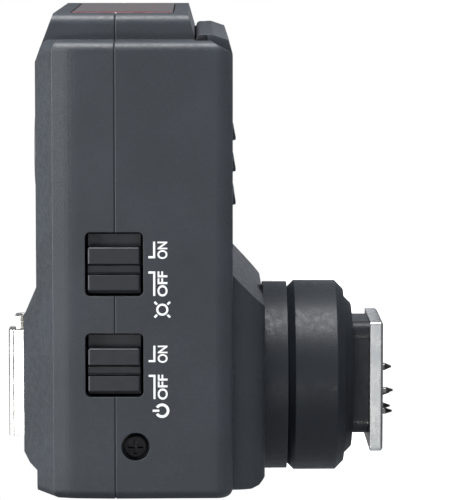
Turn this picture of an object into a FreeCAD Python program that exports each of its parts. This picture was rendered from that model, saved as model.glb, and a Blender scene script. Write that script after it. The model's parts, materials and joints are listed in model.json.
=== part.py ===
"""Wireless flash trigger: a radio transmitter that clamps into a camera's accessory shoe.

Millimetres. +Z is up when the trigger stands in the shoe, -Y is the front (the side with the
focus-assist window, towards the subject) and -X is the side with the two slide switches.
The origin is the centre of the foot's underside; the spring contacts reach below it.
"""

import os
from math import cos, tan

import FreeCAD
import Part
import Sketcher
from FreeCAD import Placement, Rotation, Vector

SIZES = {
    # housing
    "half_width": 35.0,       # centre to the switch side, at the parting line
    "nose_half_width": 29.5,  # the narrower front end
    "front_y": -58.7,
    "shoulder_y": -54.8,      # where the full width begins
    "rear_y": 13.1,
    "base_z": 23.7,
    "parting_z": 41.1,
    "top_z": 53.0,
    "wall": 1.8,
    "draft_inset": 0.35,      # each shell narrows this much away from the parting line
    "panel_top_z": 47.4,      # the side panels end here and the roof begins
    "roof_foot_z": 50.3,
    "roof_foot_x": 33.7,
    "roof_edge_x": 28.5,
    "nose_corner_z": 50.2,
    "nose_slope_y": -51.5,
    "nose_under_z": 30.3,
    # shoe deck on the roof
    "deck_z": 55.15,
    "deck_half_width": 24.4,  # where the roof's side slopes, carried on up, reach the deck
    "deck_front_y": -13.5,
    "deck_rear_y": 7.5,
    # turret under the rear half
    "turret_z": 18.7,
    "turret_half_width": 26.5,
    "turret_front_y": -14.3,
    # clamp stack
    "stack_y": -0.65,
    "collar_radius": 14.8,
    "collar_z": 14.9,
    "ring_radius": 15.0,
    "ring_z": 5.9,
    "ring_bore": 12.0,
    "disc_radius": 12.5,
    "disc_z": 4.7,
    "running_gap": 0.05,
    # foot, to the accessory shoe standard
    "foot_width": 18.6,
    "foot_length": 20.4,
    "foot_thick": 2.0,
    "neck_y": -0.95,
    "neck_half_x": 6.2,
    "neck_half_y": 8.85,
    "pin_drop": 1.8,
    "pin_radius": 0.5,
    "centre_pin_radius": 0.6,
    # shoe on the roof, to the same standard
    "shoe_slot_width": 18.7,
    "shoe_slot_height": 2.05,
    "shoe_lip_gap": 12.7,
    "shoe_half_width": 10.9,
    "shoe_top_z": 58.2,
    "shoe_front_y": -9.2,
    "shoe_rear_y": 7.3,
    # slide switches
    "well_length": 9.5,
    "well_low_z": 36.9,
    "well_high_z": 45.5,
    "knob_length": 6.6,
    "knob_low_z": 37.4,
    "knob_high_z": 45.1,
    "af_well_y": -26.8,
    "power_well_y": -11.8,
    "knob_gap": 0.7,          # knob to the rear end of its well, when off
    # roof panel and controls
    "panel_half_x": 27.0,
    "panel_front_y": -50.5,
    "panel_rear_y": -18.3,
    "panel_thick": 0.8,
    "button_top_z": 53.3,
    "button_gap": 0.12,
    "dial_x": -19.2,
    "dial_y": -38.0,
    "dial_radius": 6.6,
    "set_radius": 3.3,
    # batteries: two AA cells side by side
    "cell_radius": 7.25,
    "cell_length": 50.5,
    "cell_z": 32.98,
    "front_cell_y": -44.4,
    "rear_cell_y": -29.4,
    # battery door
    "door_half_x": 31.3,
    "door_rear_y": -20.2,
    "door_thick": 1.7,
    "door_axis_y": -54.95,
    "door_axis_z": 28.35,
    "knuckle_radius": 0.7,
    "hinge_pin_radius": 0.4,
}

doc = FreeCAD.newDocument("wireless_flash_trigger")
sheet = doc.addObject("Spreadsheet::Sheet", "dims")
for row, (alias, number) in enumerate(SIZES.items(), start=1):
    sheet.set(f"A{row}", alias.replace("_", " "))
    sheet.set(f"B{row}", str(number))
    sheet.setAlias(f"B{row}", alias)
doc.recompute()


class Size:
    """A length together with the sheet expression that it comes from."""

    def __init__(self, value, text):
        self.value = float(value)
        self.text = text

    def __add__(self, other):
        other = as_size(other)
        return Size(self.value + other.value, f"({self.text} + {other.text})")

    def __sub__(self, other):
        other = as_size(other)
        return Size(self.value - other.value, f"({self.text} - {other.text})")

    def __mul__(self, other):
        other = as_size(other)
        return Size(self.value * other.value, f"({self.text} * {other.text})")

    def __truediv__(self, other):
        other = as_size(other)
        return Size(self.value / other.value, f"({self.text} / {other.text})")

    def __neg__(self):
        return Size(-self.value, f"(-{self.text})")

    def __radd__(self, other):
        return as_size(other) + self

    def __rsub__(self, other):
        return as_size(other) - self

    def __rmul__(self, other):
        return as_size(other) * self


def as_size(amount):
    return amount if isinstance(amount, Size) else Size(amount, f"({amount:.6g})")


class Sheet:
    """Reads the sheet's cells by name: D.wall is the wall thickness."""

    def __getattr__(self, alias):
        return Size(SIZES[alias], f"dims.{alias}")


D = Sheet()
nodes = []


def node(thing, label):
    """Marks a finished sub-part; its label names its file."""
    thing.Label = label
    nodes.append(thing)
    return thing


def put(thing, x=0.0, y=0.0, z=0.0, turn=None):
    """Places an object, with its position bound to the sheet."""
    spots = [as_size(amount) for amount in (x, y, z)]
    thing.Placement = Placement(Vector(*[spot.value for spot in spots]), turn or Rotation())
    for letter, spot in zip("xyz", spots):
        thing.setExpression(f".Placement.Base.{letter}", spot.text)
    return thing


# ---- Part primitives ------------------------------------------------------------------

ALONG = {
    "x": Rotation(Vector(0, 1, 0), 90),
    "y": Rotation(Vector(1, 0, 0), -90),
    "z": Rotation(),
}


def block(x, y, z):
    """A box between two limits on each axis."""
    thing = doc.addObject("Part::Box", "block")
    spans = [(as_size(low), as_size(high)) for low, high in (x, y, z)]
    for side, (low, high) in zip(("Length", "Width", "Height"), spans):
        thing.setExpression(side, (high - low).text)
    return put(thing, *[low for low, high in spans])


def spot_on(axis, start, a, b):
    """The point at `start` along an axis and (a, b) on the other two, in X, Y, Z order."""
    return {"x": (start, a, b), "y": (a, start, b), "z": (a, b, start)}[axis]


def rod(radius, axis, span, a, b):
    """A cylinder along one axis between two limits, centred on (a, b) of the other two."""
    low, high = (as_size(end) for end in span)
    thing = doc.addObject("Part::Cylinder", "rod")
    thing.setExpression("Radius", as_size(radius).text)
    thing.setExpression("Height", (high - low).text)
    return put(thing, *spot_on(axis, low, a, b), turn=ALONG[axis])


def cone(low_radius, high_radius, axis, span, a, b):
    low, high = (as_size(end) for end in span)
    thing = doc.addObject("Part::Cone", "cone")
    thing.setExpression("Radius1", as_size(low_radius).text)
    thing.setExpression("Radius2", as_size(high_radius).text)
    thing.setExpression("Height", (high - low).text)
    return put(thing, *spot_on(axis, low, a, b), turn=ALONG[axis])


def fuse(*things):
    joined = doc.addObject("Part::MultiFuse", "fuse")
    joined.Shapes = list(things)
    joined.Refine = True
    return joined


def cut(base, *tools):
    tool = tools[0] if len(tools) == 1 else fuse(*tools)
    left = doc.addObject("Part::Cut", "cut")
    left.Base = base
    left.Tool = tool
    left.Refine = True
    return left


def group(*things):
    """Separate solids kept together in one sub-part."""
    bundle = doc.addObject("Part::Compound", "group")
    bundle.Links = list(things)
    return bundle


def edges_of(shape, wanted):
    return [i for i, edge in enumerate(shape.Edges, start=1) if wanted(edge)]


def soften(thing, radius, wanted):
    """Rounds the edges of a primitive that `wanted` picks."""
    doc.recompute()
    round_off = doc.addObject("Part::Fillet", "soften")
    round_off.Base = thing
    picked = edges_of(thing.Shape, wanted)
    assert picked, f"no edge to soften on {thing.Name}"
    size = as_size(radius).value
    round_off.Edges = [(i, size, size) for i in picked]
    return round_off


# ---- PartDesign bodies ------------------------------------------------------------------

class Ring:
    """A circle in a sketch."""

    def __init__(self, a, b, radius):
        self.a, self.b, self.radius = as_size(a), as_size(b), as_size(radius)


def new_body(label):
    body = doc.addObject("PartDesign::Body", label)
    return node(body, label)


def draw(body, plane, loops, level):
    """A sketch of closed loops on an origin plane of the body, shifted to `level` on its axis."""
    sketch = body.newObject("Sketcher::SketchObject", "sketch")
    support = [f for f in body.Origin.OriginFeatures if f.Role == f"{plane}_Plane"][0]
    sketch.AttachmentSupport = (support, [""])
    sketch.MapMode = "FlatFace"
    level = as_size(level)
    if plane == "XZ":  # this plane's normal is -Y
        level = -level
    sketch.AttachmentOffset = Placement(Vector(0, 0, level.value), Rotation())
    sketch.setExpression(".AttachmentOffset.Base.z", level.text)
    for loop in loops:
        if isinstance(loop, Ring):
            draw_ring(sketch, loop)
        else:
            draw_outline(sketch, [(as_size(a), as_size(b)) for a, b in loop])
    return sketch


def pin_point(sketch, geometry, point, a, b):
    for kind, amount in (("DistanceX", a), ("DistanceY", b)):
        rule = Sketcher.Constraint(kind, -1, 1, geometry, point, amount.value)
        index = sketch.addConstraint(rule)
        sketch.setExpression(f"Constraints[{index}]", amount.text)


def draw_ring(sketch, ring):
    centre = Vector(ring.a.value, ring.b.value, 0)
    circle = sketch.addGeometry(Part.Circle(centre, Vector(0, 0, 1), ring.radius.value))
    pin_point(sketch, circle, 3, ring.a, ring.b)
    index = sketch.addConstraint(Sketcher.Constraint("Radius", circle, ring.radius.value))
    sketch.setExpression(f"Constraints[{index}]", ring.radius.text)


def draw_outline(sketch, points):
    ends = [Vector(a.value, b.value, 0) for a, b in points]
    lines = [sketch.addGeometry(Part.LineSegment(start, end))
             for start, end in zip(ends, ends[1:] + ends[:1])]
    for line, following in zip(lines, lines[1:] + lines[:1]):
        sketch.addConstraint(Sketcher.Constraint("Coincident", line, 2, following, 1))
    for line, (a, b) in zip(lines, points):
        pin_point(sketch, line, 1, a, b)


def pad(body, plane, loops, span):
    """Adds the loops' area between two limits on the plane's axis."""
    low, high = (as_size(end) for end in span)
    feature = body.newObject("PartDesign::Pad", "pad")
    feature.Profile = draw(body, plane, loops, high if plane == "XZ" else low)
    feature.setExpression("Length", (high - low).text)
    return feature


def pocket(body, plane, loops, span):
    """Removes the loops' area between two limits on the plane's axis."""
    low, high = (as_size(end) for end in span)
    doc.recompute()
    before = body.Shape.Volume
    feature = body.newObject("PartDesign::Pocket", "pocket")
    feature.Profile = draw(body, plane, loops, low if plane == "XZ" else high)
    feature.setExpression("Length", (high - low).text)
    doc.recompute()
    assert body.Shape.Volume < before - 1e-3, f"a pocket of {body.Label} cuts nothing"
    return feature


def dress(body, kind, amount, wanted):
    """A PartDesign Fillet or Chamfer on the edges that `wanted` picks."""
    doc.recompute()
    base = body.Tip
    picked = edges_of(base.Shape, wanted)
    assert picked, f"no edge for a {kind} on {body.Label}"
    feature = body.newObject(f"PartDesign::{kind}", kind.lower())
    feature.Base = (base, [f"Edge{i}" for i in picked])
    prop = "Radius" if kind == "Fillet" else "Size"
    feature.setExpression(prop, as_size(amount).text)
    doc.recompute()
    assert "Invalid" not in feature.State, f"a {kind} of {body.Label} failed"
    assert feature.Shape.isValid(), f"a {kind} of {body.Label} gave a bad solid"
    return feature


def both_sides(points):
    """Closes a half outline, drawn on the +X side, with its mirror image."""
    return points + [(-as_size(x), other) for x, other in reversed(points)]


def rectangle(low_a, high_a, low_b, high_b):
    return [(low_a, low_b), (high_a, low_b), (high_a, high_b), (low_a, high_b)]


def near(value, target, slack=0.05):
    return abs(value - as_size(target).value) < slack


def runs_along(edge, axis):
    box = edge.BoundBox
    lengths = {"x": box.XLength, "y": box.YLength, "z": box.ZLength}
    longest = lengths.pop(axis)
    return longest > 0.5 and max(lengths.values()) < 0.1 * longest


# ---- housing -----------------------------------------------------------------------------

CLEAR = 5.0  # how far a cutting tool reaches past what it cuts


def nose_corners():
    """Plan areas beside the nose, where the housing is narrower."""
    outer, inner = D.half_width + CLEAR, D.nose_half_width
    front, rear = D.front_y - CLEAR, D.shoulder_y
    return [rectangle(inner, outer, front, rear), rectangle(-outer, -inner, front, rear)]


def make_upper_shell():
    """The roof half: wide body, narrower nose, sloped nose roof, shoe deck."""
    body = new_body("upper_shell")
    wall = D.wall
    wall_foot = (D.half_width, D.parting_z)
    wall_top = (D.half_width - D.draft_inset, D.panel_top_z)
    roof_foot = (D.roof_foot_x, D.roof_foot_z)
    section = [wall_foot, *bend(wall_foot, wall_top, roof_foot, 9.0), roof_foot,
               (D.roof_edge_x, D.top_z)]
    pad(body, "XZ", [both_sides(section)], (D.front_y, D.rear_y))
    dress(body, "Fillet", 1.4, lambda e: near(e.CenterOfMass.y, D.rear_y)
          and e.BoundBox.YLength < 0.01 and abs(e.CenterOfMass.x) > 20
          and e.CenterOfMass.z > D.parting_z.value + 0.1)
    pocket(body, "XY", nose_corners(), (D.parting_z - CLEAR, D.top_z + CLEAR))
    round_nose(body)
    nose_slope = [(D.front_y - 1, D.nose_corner_z - 0.33), (D.nose_slope_y, D.top_z),
                  (D.nose_slope_y, D.top_z + CLEAR), (D.front_y - 1, D.top_z + CLEAR)]
    pocket(body, "YZ", [nose_slope], (-D.half_width - CLEAR, D.half_width + CLEAR))
    dress(body, "Fillet", 1.5, lambda e: near(e.CenterOfMass.y, D.shoulder_y)
          and e.BoundBox.YLength < 0.01 and abs(e.CenterOfMass.x) > D.nose_half_width.value + 0.1
          and e.CenterOfMass.z > D.parting_z.value + 0.1)
    rear_slope = [(D.rear_y, 48.1), (D.rear_y - 2.0, 50.8), (D.rear_y - 3.4, D.top_z),
                  (D.rear_y - 3.4, D.top_z + CLEAR), (D.rear_y + 1, D.top_z + CLEAR),
                  (D.rear_y + 1, 48.1)]
    pocket(body, "YZ", [rear_slope], (-D.half_width - CLEAR, D.half_width + CLEAR))
    mark_parting(body)
    add_deck(body)
    # the hollow: full width low down, narrower under the roof slopes
    low_hollow = rectangle(D.shoulder_y + wall, D.rear_y - wall, D.parting_z, 46.9)
    pocket(body, "YZ", [low_hollow], (wall - D.half_width + 0.1, D.half_width - wall - 0.1))
    roof_z = D.top_z - wall
    high_hollow = [(D.front_y + wall, D.parting_z), (D.rear_y - wall, D.parting_z),
                   (D.rear_y - wall, 46.9), (D.rear_y - 5.0, roof_z),
                   (D.nose_slope_y + 0.4, roof_z), (D.front_y + wall, D.nose_corner_z - 1.4)]
    pocket(body, "YZ", [high_hollow], (wall - D.nose_half_width, D.nose_half_width - wall))
    cut_wells(body)
    cut_front_window(body)
    # seat for the roof panel, with one opening under it for the display and the controls
    seat = rectangle(-D.panel_half_x, D.panel_half_x, D.panel_front_y, D.panel_rear_y)
    pocket(body, "XY", [seat], (D.top_z - D.panel_thick, D.top_z + 0.5))
    rim = 1.2
    opening = rectangle(rim - D.panel_half_x, D.panel_half_x - rim,
                        D.panel_front_y + rim, D.panel_rear_y - rim)
    pocket(body, "XY", [opening], (roof_z - 0.5, D.top_z))
    # seat for the shoe's base plate, and its screw holes
    base = rectangle(-D.shoe_half_width, D.shoe_half_width, D.shoe_front_y, D.shoe_rear_y)
    pocket(body, "XY", [base], (D.deck_z - 1.05, D.deck_z + 1))
    holes = [Ring(x, y, 0.8) for x, y in shoe_screw_spots()]
    pocket(body, "XY", holes, (roof_z - 1, D.deck_z))
    return body


def make_lower_shell():
    """The base half: side walls, nose floor, turret, and the battery door's opening."""
    body = new_body("lower_shell")
    wall = D.wall
    section = both_sides([
        (D.half_width - D.draft_inset, D.base_z),
        (D.half_width, D.parting_z),
    ])
    pad(body, "XZ", [section], (D.shoulder_y, D.rear_y))
    dress(body, "Fillet", 2.5, lambda e: runs_along(e, "y") and near(e.CenterOfMass.z, D.base_z))
    dress(body, "Fillet", 1.4, lambda e: runs_along(e, "z") and near(e.CenterOfMass.y, D.rear_y))
    dress(body, "Fillet", 1.5,
          lambda e: runs_along(e, "z") and near(e.CenterOfMass.y, D.shoulder_y))
    toe = [(D.shoulder_y - 1, 27.0), (D.shoulder_y, 26.9), (D.shoulder_y + 1.5, 24.3),
           (D.shoulder_y + 2.4, D.base_z), (D.shoulder_y + 2.4, D.base_z - 1),
           (D.shoulder_y - 1, D.base_z - 1)]
    pocket(body, "YZ", [toe], (-D.half_width - CLEAR, D.half_width + CLEAR))
    nose = [(D.front_y, D.parting_z), (D.front_y, D.nose_under_z),
            (D.shoulder_y - 0.4, D.nose_under_z - 1), (D.shoulder_y + 0.5, D.nose_under_z - 1),
            (D.shoulder_y + 0.5, D.parting_z)]
    pad(body, "YZ", [nose], (-D.nose_half_width, D.nose_half_width))
    round_nose(body)
    mark_parting(body)
    add_turret(body)
    hollow = rectangle(D.shoulder_y + wall, D.rear_y - wall, D.base_z + wall, D.parting_z)
    side = D.half_width - wall - 0.3
    pocket(body, "YZ", [hollow], (-side, side))
    nose_hollow = rectangle(D.front_y + wall, D.shoulder_y + wall + 1,
                            D.nose_under_z + 1, D.parting_z)
    inner_nose = D.nose_half_width - wall
    pocket(body, "YZ", [nose_hollow], (-inner_nose, inner_nose))
    # the battery door's opening: the floor, and the front corner under the nose
    gap = D.door_half_x + 0.2
    pocket(body, "XY", [rectangle(-gap, gap, D.shoulder_y - 1, D.door_rear_y + 0.15)],
           (D.base_z - 1, D.base_z + wall))
    front_gap = rectangle(D.shoulder_y - 1, D.shoulder_y + wall + 0.1,
                          D.base_z - 1, D.nose_under_z - 1)
    pocket(body, "YZ", [front_gap], (-gap, gap))
    cut_wells(body)
    cut_front_window(body)
    # side screws, sync socket and charging port
    screw = Ring(SIDE_SCREW_Y, SIDE_SCREW_Z, 2.1)
    hole = Ring(SIDE_SCREW_Y, SIDE_SCREW_Z, 1.05)
    for low, high in ((-D.half_width - 1, 1.5 - D.half_width),
                      (D.half_width - 1.5, D.half_width + 1)):
        pocket(body, "YZ", [screw], (low, high))
    for low, high in ((-D.half_width, wall + 1 - D.half_width),
                      (D.half_width - wall - 1, D.half_width)):
        pocket(body, "YZ", [hole], (low, high))
    pocket(body, "YZ", [Ring(SYNC_Y, PORT_Z, 2.6)], (D.half_width - 3, D.half_width + 1))
    port = rectangle(USB_Y - 4.7, USB_Y + 4.7, PORT_Z - 1.85, PORT_Z + 1.85)
    pocket(body, "YZ", [port], (D.half_width - 3, D.half_width + 1))
    # holes for the screws that come up through the turret and for the contact wires
    holes = [Ring(x, y, 1.0) for x, y in COLLAR_SCREWS]
    pocket(body, "XY", holes + [Ring(0, D.stack_y, 4.0)], (D.turret_z - 1, D.base_z + wall + 1))
    return body


def bend(before, corner, after, radius):
    """Points along the arc that rounds `corner`, between the lines to its two neighbours."""
    points = [FreeCAD.Vector(as_size(a).value, as_size(b).value, 0)
              for a, b in (before, corner, after)]
    start, middle, end = points
    into, out = (middle - start).normalize(), (end - middle).normalize()
    turn = into.getAngle(out)
    reach = radius * tan(turn / 2)
    first, last = middle - into * reach, middle + out * reach
    centre = middle + (out - into).normalize() * (radius / cos(turn / 2))
    rim = []
    for step in range(BEND_STEPS + 1):
        way = first + (last - first) * (step / BEND_STEPS) - centre
        rim.append(centre + way.normalize() * radius)
    return [(point.x, point.y) for point in rim]


BEND_STEPS = 4


def round_nose(body):
    dress(body, "Fillet", 1.6,
          lambda e: runs_along(e, "z") and near(e.CenterOfMass.y, D.front_y))


def mark_parting(body):
    """A fine bevel on each half's outer edge; the two together make the parting groove."""
    dress(body, "Chamfer", 0.15,
          lambda e: near(e.CenterOfMass.z, D.parting_z) and e.BoundBox.ZLength < 0.01)


def add_deck(body):
    """The raised rear of the roof: its sides carry on up the roof's side slopes."""
    front = D.deck_front_y
    deck = [(front - 2.0, D.top_z - 1), (front - 2.0, D.top_z), (front, D.deck_z),
            (D.deck_rear_y, D.deck_z), (D.rear_y - 4.2, D.deck_z - 0.95),
            (D.rear_y - 3.4, D.top_z), (D.rear_y - 3.4, D.top_z - 1)]
    pad(body, "YZ", [deck], (-D.roof_edge_x, D.roof_edge_x))
    dress(body, "Fillet", 2.3,
          lambda e: runs_along(e, "x") and front.value - 2.1 < e.CenterOfMass.y < front.value + 0.1)
    side = [(D.roof_edge_x, D.top_z), (D.roof_edge_x + 1, D.top_z),
            (D.roof_edge_x + 1, D.deck_z + 1), (D.deck_half_width, D.deck_z + 1),
            (D.deck_half_width, D.deck_z)]
    other = [(-x, z) for x, z in side]
    pocket(body, "XZ", [side, other], (front - CLEAR, D.rear_y))


def add_turret(body):
    """The block under the rear half, sloped in front and bevelled behind."""
    front, rear = D.turret_front_y, D.rear_y
    pad(body, "XZ", [rectangle(-D.turret_half_width, D.turret_half_width,
                               D.turret_z, D.base_z + 0.1)], (front - 5.2, rear))
    dress(body, "Fillet", 4.9,
          lambda e: runs_along(e, "y") and near(e.CenterOfMass.z, D.turret_z))
    front_slope = [(front - 6.2, D.base_z), (front - 5.2, D.base_z), (front, D.turret_z),
                   (front, D.turret_z - 1), (front - 6.2, D.turret_z - 1)]
    rear_lip = [(rear + 1, D.turret_z + 2.1), (rear, D.turret_z + 2.1),
                (rear - 0.4, D.turret_z + 0.9), (rear - 1.3, D.turret_z),
                (rear - 1.3, D.turret_z - 1), (rear + 1, D.turret_z - 1)]
    pocket(body, "YZ", [front_slope, rear_lip], (-D.half_width - CLEAR, D.half_width + CLEAR))


def cut_wells(body):
    """The two switch wells, which straddle the parting line on the -X side."""
    for front in (D.af_well_y, D.power_well_y):
        well = rectangle(front, front + D.well_length, D.well_low_z, D.well_high_z)
        pocket(body, "YZ", [well], (-D.half_width - 1, D.wall + 0.5 - D.half_width))
    dress(body, "Fillet", 0.8,
          lambda e: runs_along(e, "x") and e.CenterOfMass.x < -30
          and (near(e.CenterOfMass.z, D.well_low_z) or near(e.CenterOfMass.z, D.well_high_z)))


def cut_front_window(body):
    """The opening in the nose for the focus-assist window, in both halves."""
    window = rectangle(-WINDOW_HALF_X, WINDOW_HALF_X, WINDOW_LOW_Z, WINDOW_HIGH_Z)
    pocket(body, "XZ", [window], (D.front_y - 1, D.front_y + D.wall + 0.5))


WINDOW_HALF_X = 24.0
WINDOW_LOW_Z = 32.4
WINDOW_HIGH_Z = 48.0
SIDE_SCREW_Y = 5.1
SIDE_SCREW_Z = 38.1
SYNC_Y = -14.0
USB_Y = -4.5
PORT_Z = 35.0
COLLAR_SCREWS = [(x, y) for x in (-7.5, 7.5) for y in (-9.6, 9.0)]


def shoe_screw_spots():
    return [(x, y) for x in (-4.4, 4.4) for y in (D.shoe_front_y + 1.9, D.shoe_rear_y - 1.9)]


# ---- front window and lamps --------------------------------------------------------------

def make_af_parts():
    """The dark red window in the nose, the lamp board behind it and its two emitters."""
    gap = 0.12
    pane = block((gap - WINDOW_HALF_X, WINDOW_HALF_X - gap), (D.front_y - 0.1, D.front_y + 1.5),
                 (WINDOW_LOW_Z + gap, WINDOW_HIGH_Z - gap))
    pane = soften(pane, 0.45, lambda e: near(e.CenterOfMass.y, D.front_y - 0.1))
    flange = block((-WINDOW_HALF_X - 1.2, WINDOW_HALF_X + 1.2),
                   (D.front_y + 1.5 + 0.3, D.front_y + 2.3), (WINDOW_LOW_Z - 0.3, WINDOW_HIGH_Z + 0.5))
    web = block((gap - WINDOW_HALF_X, WINDOW_HALF_X - gap), (D.front_y + 1.5, D.front_y + 1.8),
                (WINDOW_LOW_Z + gap, WINDOW_HIGH_Z - gap))
    node(fuse(pane, web, flange), "af_window")
    board = block((-20, 20), (D.shoulder_y - 0.4, D.shoulder_y + 0.6), (34.0, 47.0))
    node(board, "af_board")
    emitters = []
    for x in (-9.0, 9.0):
        base = rod(1.5, "y", (D.shoulder_y - 1.4, D.shoulder_y - 0.4), x, 41.5)
        dome = soften(base, 0.7, lambda e: near(e.CenterOfMass.y, D.shoulder_y - 1.4)
                      and e.Length > 5)
        emitters.append(dome)
    node(group(*emitters), "af_emitters")


# ---- roof panel and its controls ---------------------------------------------------------

DISPLAY_X = (-10.8, 19.2)
DISPLAY_Y = (-48.6, -27.6)
GROUP_X = 23.2
GROUP_SIZE = (4.4, 3.0)
GROUP_FIRST_Y = -46.6
GROUP_PITCH = 4.25
FUNCTION_SIZE = (6.0, 3.0)
FUNCTION_Y = -22.6
FUNCTION_FIRST_X = 16.2
FUNCTION_PITCH = -8.0
TEST_SPOT = (-20.6, -23.6)
TEST_RADIUS = 2.5
LAMP_SPOT = (-20.6, -47.6)

GROUP_SPOTS = {f"group_button_{letter}": (GROUP_X, GROUP_FIRST_Y + i * GROUP_PITCH)
               for i, letter in enumerate("abcde")}
FUNCTION_SPOTS = {f"{word}_button": (FUNCTION_FIRST_X + i * FUNCTION_PITCH, FUNCTION_Y)
                  for i, word in enumerate(("mode", "zoom", "sync", "menu"))}


def key_area(spot, size, gap):
    x, y = spot
    long_side, short_side = size
    return (x - long_side / 2 - gap, x + long_side / 2 + gap,
            y - short_side / 2 - gap, y + short_side / 2 + gap)


def make_top_panel():
    """The thin printed panel on the roof, pierced for the display and every control."""
    body = new_body("top_panel")
    low = D.top_z - D.panel_thick
    gap = 0.1
    sheet_area = rectangle(gap - D.panel_half_x, D.panel_half_x - gap,
                           D.panel_front_y + gap, D.panel_rear_y - gap)
    pad(body, "XY", [sheet_area], (low, D.top_z))
    openings = [rectangle(*DISPLAY_X, *DISPLAY_Y)]
    openings += [rectangle(*key_area(spot, GROUP_SIZE, SIZES["button_gap"]))
                 for spot in GROUP_SPOTS.values()]
    openings += [rectangle(*key_area(spot, FUNCTION_SIZE, SIZES["button_gap"]))
                 for spot in FUNCTION_SPOTS.values()]
    openings.append(Ring(*TEST_SPOT, TEST_RADIUS + D.button_gap))
    openings.append(Ring(*LAMP_SPOT, 0.8))
    openings.append(Ring(D.dial_x, D.dial_y, D.dial_radius + 0.25))
    pocket(body, "XY", openings, (low - 1, D.top_z + 1))


def make_display():
    """Window, liquid-crystal glass and the back light under it."""
    low = D.top_z - D.panel_thick
    pane = block(DISPLAY_X, DISPLAY_Y, (low, D.top_z))
    node(pane, "display_window")
    x0, x1 = DISPLAY_X
    y0, y1 = DISPLAY_Y
    node(block((x0 - 0.8, x1 + 0.6), (y0 + 0.4, y1 + 0.6), (low - 1.5, low - 0.05)), "lcd_panel")
    node(block((x0 - 0.8, x1 + 0.6), (y0 + 0.4, y1 + 0.6), (low - 3.4, low - 1.55)), "lcd_backlight")


def make_key(label, spot, size):
    """One push button: a cap that stands proud of the panel, on a wider hidden flange."""
    x0, x1, y0, y1 = key_area(spot, size, 0)
    cap = block((x0, x1), (y0, y1), (D.top_z - D.panel_thick - 0.6, D.button_top_z))
    cap = soften(cap, 0.3, lambda e: near(e.CenterOfMass.z, D.button_top_z)
                 or (runs_along(e, "z")))
    flange = block((x0 - 0.35, x1 + 0.35), (y0 - 0.35, y1 + 0.35),
                   (D.top_z - D.panel_thick - 1.2, D.top_z - D.panel_thick - 0.1))
    node(fuse(cap, flange), label)


def make_round_key(label, x, y, radius):
    cap = rod(radius, "z", (D.top_z - D.panel_thick - 0.6, D.button_top_z), x, y)
    cap = soften(cap, 0.3, lambda e: near(e.CenterOfMass.z, D.button_top_z) and e.Length > 5)
    flange = rod(radius + 0.4, "z", (D.top_z - D.panel_thick - 1.2, D.top_z - D.panel_thick - 0.1),
                 x, y)
    node(fuse(cap, flange), label)


def make_dial():
    """A flush select wheel with finger notches, its set button and the encoder below."""
    body = new_body("select_dial")
    notch_radius = 0.42
    low = D.top_z - D.panel_thick - 1.4
    bore = Ring(D.dial_x, D.dial_y, D.set_radius + 0.1)
    pad(body, "XY", [Ring(D.dial_x, D.dial_y, D.dial_radius), bore], (low, D.button_top_z))
    dress(body, "Chamfer", 0.35,
          lambda e: near(e.CenterOfMass.z, D.button_top_z) and e.Length > 35)
    pocket(body, "XY", [Ring(D.dial_x + D.dial_radius - 0.95, D.dial_y, notch_radius)],
           (D.button_top_z - 0.45, D.button_top_z + 1))
    notch = body.Tip
    ring = body.newObject("PartDesign::PolarPattern", "notches")
    ring.Originals = [notch]
    axis = body.newObject("PartDesign::Line", "dial_axis")
    put(axis, D.dial_x, D.dial_y, 0)
    ring.Axis = (axis, [""])
    ring.Angle = 360
    ring.Occurrences = 24
    body.Tip = ring
    make_set_button(low)
    stator = cut(rod(5.2, "z", (low - 2.4, low - 0.1), D.dial_x, D.dial_y),
                 rod(D.set_radius + 0.5, "z", (low - 0.9, low), D.dial_x, D.dial_y))
    node(stator, "dial_encoder")


def make_set_button(dial_low):
    cap = rod(D.set_radius, "z", (dial_low - 0.3, D.button_top_z), D.dial_x, D.dial_y)
    dish = doc.addObject("Part::Sphere", "dish")
    dish.Radius = 14.0
    put(dish, D.dial_x, D.dial_y, D.button_top_z + 13.75)
    node(cut(cap, dish), "set_button")


def make_status_lamp():
    low = D.top_z - D.panel_thick
    stem = rod(0.8, "z", (low, D.top_z + 0.1), *LAMP_SPOT)
    foot = rod(1.3, "z", (low - 2.5, low), *LAMP_SPOT)
    node(fuse(stem, foot), "status_lamp")


BOARD_Z = 46.2
BOARD_THICK = 1.2


def make_boards():
    """The main board under the roof, the radio module on its underside, the key switches."""
    low = BOARD_Z
    board = block((-27.5, 27.5), (-50.0, -4.0), (low, low + BOARD_THICK))
    holes = [rod(1.3, "z", (low - 1, low + 3), x, y) for x in (-25.3, 25.3) for y in (-49, -6)]
    node(cut(board, *holes), "main_board")
    module = block((2, 18), (-46, -26), (low - 0.8, low))
    shield = block((3, 17), (-42, -27), (low - 2.9, low - 0.8))
    node(fuse(module, shield), "radio_module")
    domes = []
    for x, y in [*GROUP_SPOTS.values(), *FUNCTION_SPOTS.values(), TEST_SPOT]:
        base = block((x - 1.7, x + 1.7), (y - 1.4, y + 1.4), (low + BOARD_THICK, low + 2.6))
        plunger = rod(0.9, "z", (low + 2.6, D.top_z - D.panel_thick - 1.75), x, y)
        domes.append(fuse(base, plunger))
    node(group(*domes), "button_switches")


# ---- shoe on the roof --------------------------------------------------------------------

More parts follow.
